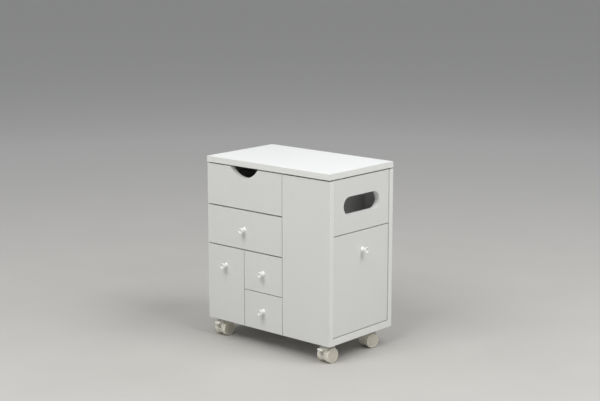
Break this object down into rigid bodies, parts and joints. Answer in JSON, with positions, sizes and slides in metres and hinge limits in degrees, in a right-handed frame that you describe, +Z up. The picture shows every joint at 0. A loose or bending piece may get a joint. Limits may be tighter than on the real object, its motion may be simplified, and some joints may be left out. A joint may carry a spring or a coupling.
{
  "type": "rolling pedestal cabinet",
  "caption": "White rolling pedestal cabinet with a lift-up lid, drawers on the front and one end, an outlet slot in the end, and twin-wheel casters.",
  "frame": {"origin": "on the floor under the middle of the outline, counting the knobs and the hinge barrels", "axes": "+Z up, the front drawers face -Y, the side drawer and the slot face +X"},
  "size_m": [0.4442, 0.2804, 0.498],
  "materials": {
    "white_board": "satin white sheet laid on wood board",
    "lid_board": "satin white sheet laid on wood board",
    "inner_board": "matt white paper-faced board",
    "hardboard": "matt white hardboard",
    "gloss_knob": "glossy white",
    "nylon": "moulded ivory nylon",
    "nylon_wheel": "moulded ivory nylon, scuffed treads",
    "zinc_steel": "bright zinc plate",
    "beech": "raw beech",
    "clear_rubber": "soft clear"
  },
  "bodies": {
    "carcass": {"left_side_panel": "white_board", "back_panel": "white_board", "front_panel": "white_board", "slot_panel": "white_board", "bottom_board": "white_board", "centre_partition": "inner_board", "top_shelf": "inner_board", "middle_shelf": "inner_board", "small_divider": "inner_board", "small_shelf": "inner_board", "pocket_floor": "inner_board", "pocket_divider": "inner_board", "back_screws": "zinc_steel", "dowels": "beech", "lid_bumpers": "clear_rubber", "hinge_body_leaves": "zinc_steel", "hinge_body_screws": "zinc_steel", "hinge_pins": "zinc_steel", "caster_plates": "zinc_steel", "caster_screws": "zinc_steel"},
    "lid": {"lid": "lid_board", "hinge_lid_leaves": "zinc_steel", "hinge_lid_screws": "zinc_steel"},
    "notched_drawer": {"notched_drawer_front": "white_board", "notched_drawer_walls": "inner_board", "notched_drawer_bottom": "hardboard"},
    "second_drawer": {"second_drawer_front": "white_board", "second_drawer_walls": "inner_board", "second_drawer_bottom": "hardboard", "second_drawer_knob": "gloss_knob"},
    "tall_drawer": {"tall_drawer_front": "white_board", "tall_drawer_walls": "inner_board", "tall_drawer_bottom": "hardboard", "tall_drawer_knob": "gloss_knob"},
    "small_upper_drawer": {"small_upper_drawer_front": "white_board", "small_upper_drawer_walls": "inner_board", "small_upper_drawer_bottom": "hardboard", "small_upper_drawer_knob": "gloss_knob"},
    "small_lower_drawer": {"small_lower_drawer_front": "white_board", "small_lower_drawer_walls": "inner_board", "small_lower_drawer_bottom": "hardboard", "small_lower_drawer_knob": "gloss_knob"},
    "side_drawer": {"side_drawer_front": "white_board", "side_drawer_walls": "inner_board", "side_drawer_bottom": "hardboard", "side_drawer_knob": "gloss_knob"},
    "front_left_caster": {"front_left_caster_housing": "nylon"},
    "front_left_wheels": {"front_left_caster_wheels": "nylon_wheel"},
    "front_left_brake": {"front_left_brake_lever": "nylon"},
    "front_right_caster": {"front_right_caster_housing": "nylon"},
    "front_right_wheels": {"front_right_caster_wheels": "nylon_wheel"},
    "front_right_brake": {"front_right_brake_lever": "nylon"},
    "rear_left_caster": {"rear_left_caster_housing": "nylon"},
    "rear_left_wheels": {"rear_left_caster_wheels": "nylon_wheel"},
    "rear_right_caster": {"rear_right_caster_housing": "nylon"},
    "rear_right_wheels": {"rear_right_caster_wheels": "nylon_wheel"}
  },
  "joints": [
    {"name": "lid_hinge", "type": "hinge", "parent": "carcass", "child": "lid", "pos_m": [-0.00715, 0.13725, 0.48075], "axis": [-1, 0, 0], "range_deg": [0, 100]},
    {"name": "notched_drawer_slide", "type": "slide", "parent": "carcass", "child": "notched_drawer", "axis": [0, -1, 0], "range_m": [0, 0.18]},
    {"name": "second_drawer_slide", "type": "slide", "parent": "carcass", "child": "second_drawer", "axis": [0, -1, 0], "range_m": [0, 0.18]},
    {"name": "tall_drawer_slide", "type": "slide", "parent": "carcass", "child": "tall_drawer", "axis": [0, -1, 0], "range_m": [0, 0.18]},
    {"name": "small_upper_drawer_slide", "type": "slide", "parent": "carcass", "child": "small_upper_drawer", "axis": [0, -1, 0], "range_m": [0, 0.18]},
    {"name": "small_lower_drawer_slide", "type": "slide", "parent": "carcass", "child": "small_lower_drawer", "axis": [0, -1, 0], "range_m": [0, 0.18]},
    {"name": "side_drawer_slide", "type": "slide", "parent": "carcass", "child": "side_drawer", "axis": [1, 0, 0], "range_m": [0, 0.105]},
    {"name": "front_left_swivel", "type": "hinge", "parent": "carcass", "child": "front_left_caster", "pos_m": [-0.19015, -0.08125, 0.04], "axis": [0, 0, 1], "continuous": true},
    {"name": "front_left_roll", "type": "hinge", "parent": "front_left_caster", "child": "front_left_wheels", "pos_m": [-0.19067, -0.09624, 0.02], "axis": [0.9994, -0.0349, 0], "continuous": true},
    {"name": "front_left_brake_press", "type": "hinge", "parent": "front_left_caster", "child": "front_left_brake", "pos_m": [-0.19115, -0.11, 0.03966], "axis": [0.9994, -0.0349, 0], "range_deg": [0, 22]},
    {"name": "front_right_swivel", "type": "hinge", "parent": "carcass", "child": "front_right_caster", "pos_m": [0.18035, -0.08125, 0.04], "axis": [0, 0, 1], "continuous": true},
    {"name": "front_right_roll", "type": "hinge", "parent": "front_right_caster", "child": "front_right_wheels", "pos_m": [0.17904, -0.09619, 0.02], "axis": [0.9962, -0.0872, 0], "continuous": true},
    {"name": "front_right_brake_press", "type": "hinge", "parent": "front_right_caster", "child": "front_right_brake", "pos_m": [0.17784, -0.10991, 0.03966], "axis": [0.9962, -0.0872, 0], "range_deg": [0, 22]},
    {"name": "rear_left_swivel", "type": "hinge", "parent": "carcass", "child": "rear_left_caster", "pos_m": [-0.19015, 0.09075, 0.04], "axis": [0, 0, 1], "continuous": true},
    {"name": "rear_left_roll", "type": "hinge", "parent": "rear_left_caster", "child": "rear_left_wheels", "pos_m": [-0.1925, 0.07594, 0.02], "axis": [0.9877, -0.1564, 0], "continuous": true},
    {"name": "rear_right_swivel", "type": "hinge", "parent": "carcass", "child": "rear_right_caster", "pos_m": [0.18035, 0.09075, 0.04], "axis": [0, 0, 1], "continuous": true},
    {"name": "rear_right_roll", "type": "hinge", "parent": "rear_right_caster", "child": "rear_right_wheels", "pos_m": [0.17672, 0.0762, 0.02], "axis": [0.9703, -0.2419, 0], "continuous": true}
  ]
}
